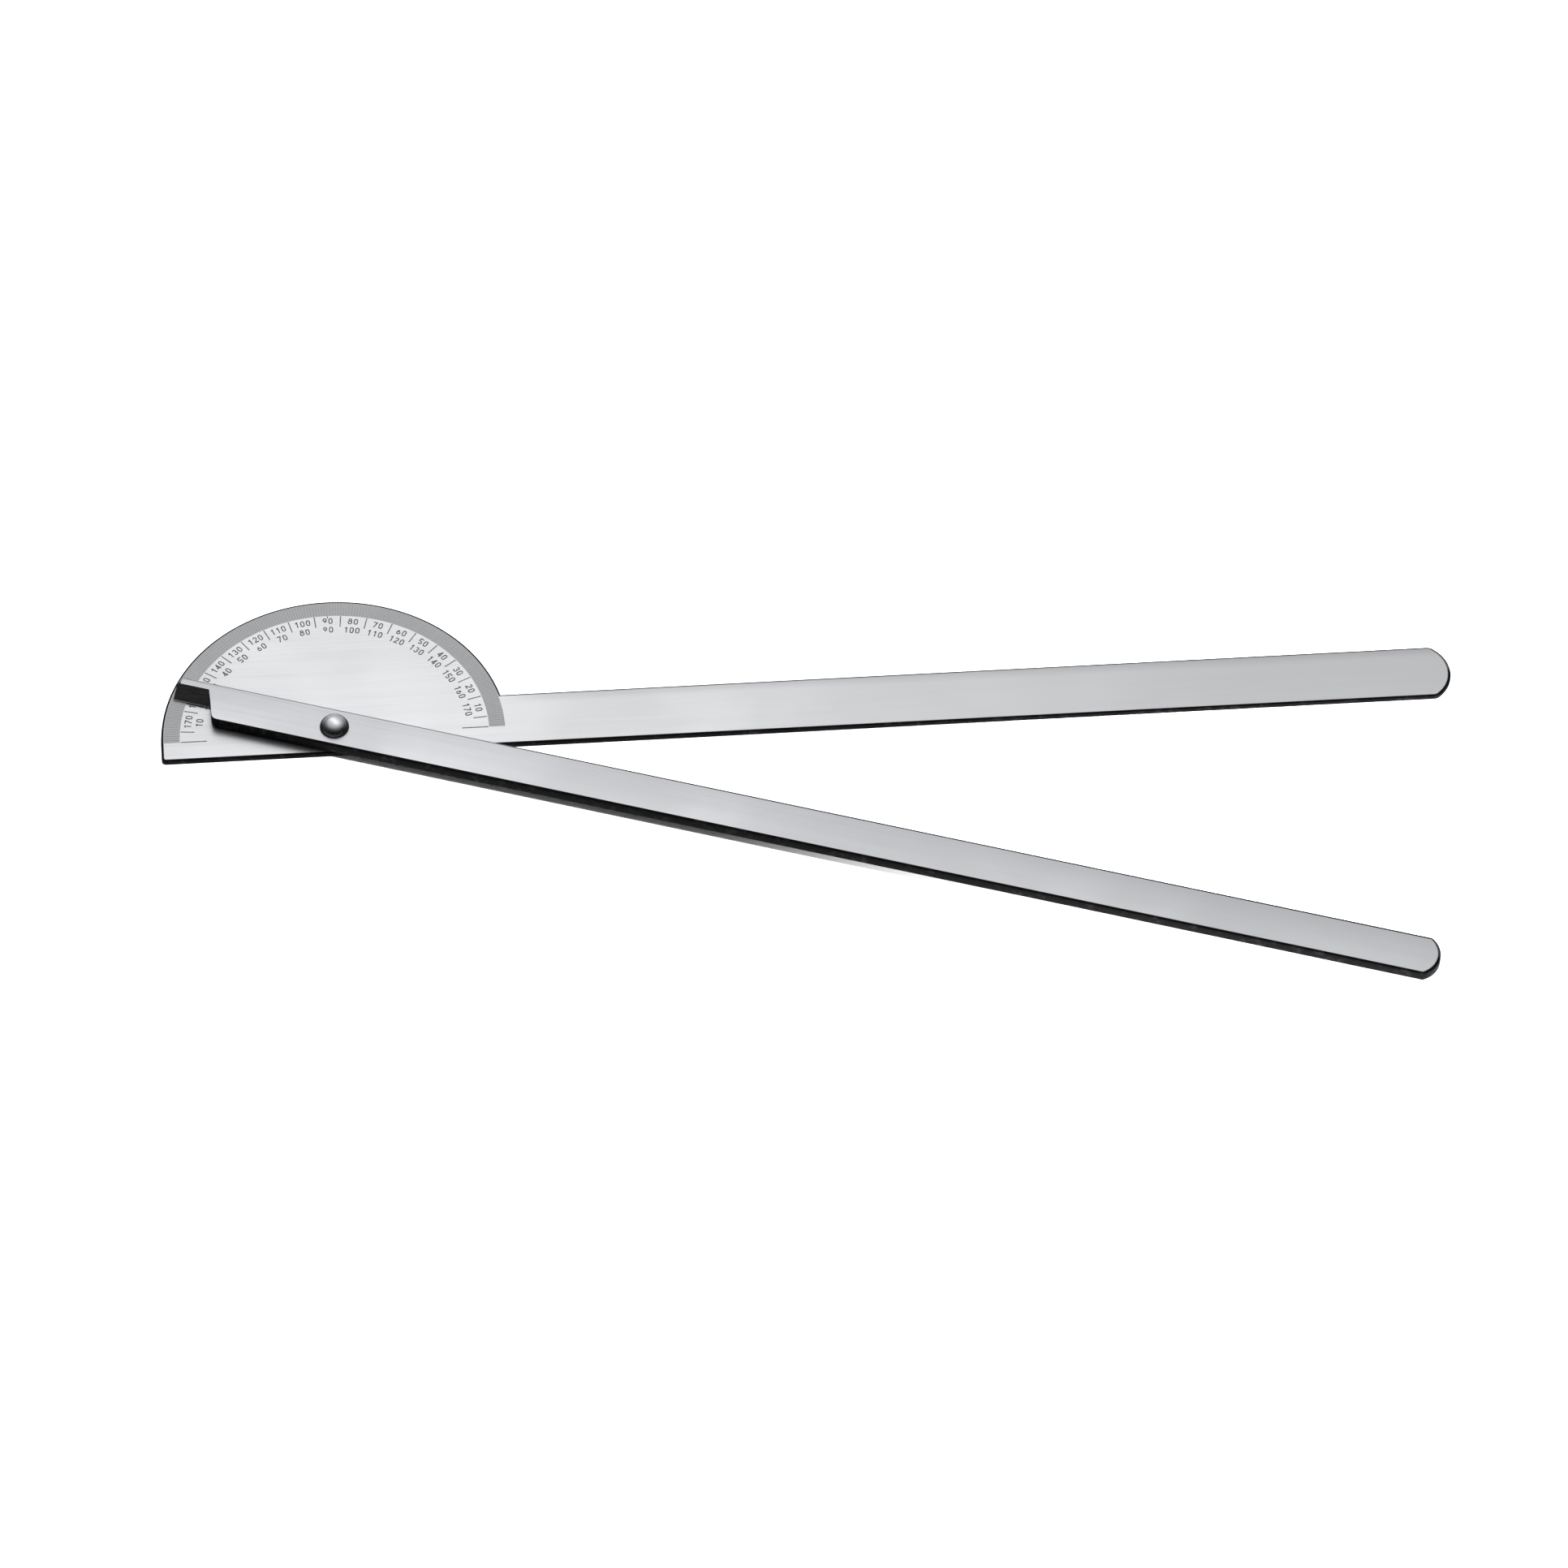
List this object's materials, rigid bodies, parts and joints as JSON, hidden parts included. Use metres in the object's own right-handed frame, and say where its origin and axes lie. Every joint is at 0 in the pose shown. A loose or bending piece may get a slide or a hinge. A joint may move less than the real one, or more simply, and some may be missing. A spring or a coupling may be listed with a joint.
{
  "type": "goniometer",
  "caption": "Flat steel goniometer: a stamped half-round scale blade with a fixed arm, and a moving arm with a bevelled pointer that turns on a round-headed rivet.",
  "frame": {"origin": "the pivot axis, in the plane of the blade's back, which is the face that rests on the table or the limb", "axes": "+Z out of the scale face along the pivot axis, +X along the scale's zero line and the fixed arm, +Y towards the half-round head; at rest the moving arm points 18.8 degrees below +X"},
  "size_m": [0.3565, 0.1519, 0.0082],
  "materials": {
    "blade_steel": "satin, grain along the arm, dark broken edges",
    "arm_steel": "satin, grain along the arm, dark broken edges",
    "rivet_steel": "polished, darkened",
    "spring_steel": "rolled strip",
    "etched_band": "matt etched",
    "line_enamel": "enamel fill, semi-matt"
  },
  "bodies": {
    "blade": {"scale_blade": "blade_steel", "pivot_rivet": "rivet_steel", "wave_washer": "spring_steel", "degree_band": "etched_band", "degree_lines": "line_enamel", "divider_lines": "line_enamel", "baseline_marks": "line_enamel", "outer_numerals": "line_enamel", "inner_numerals": "line_enamel"},
    "arm": {"moving_arm": "arm_steel"}
  },
  "joints": [
    {"name": "arm_swing", "type": "hinge", "parent": "blade", "child": "arm", "pos_m": [0, 0, 0.0034], "axis": [0, 0, 1], "continuous": true}
  ]
}
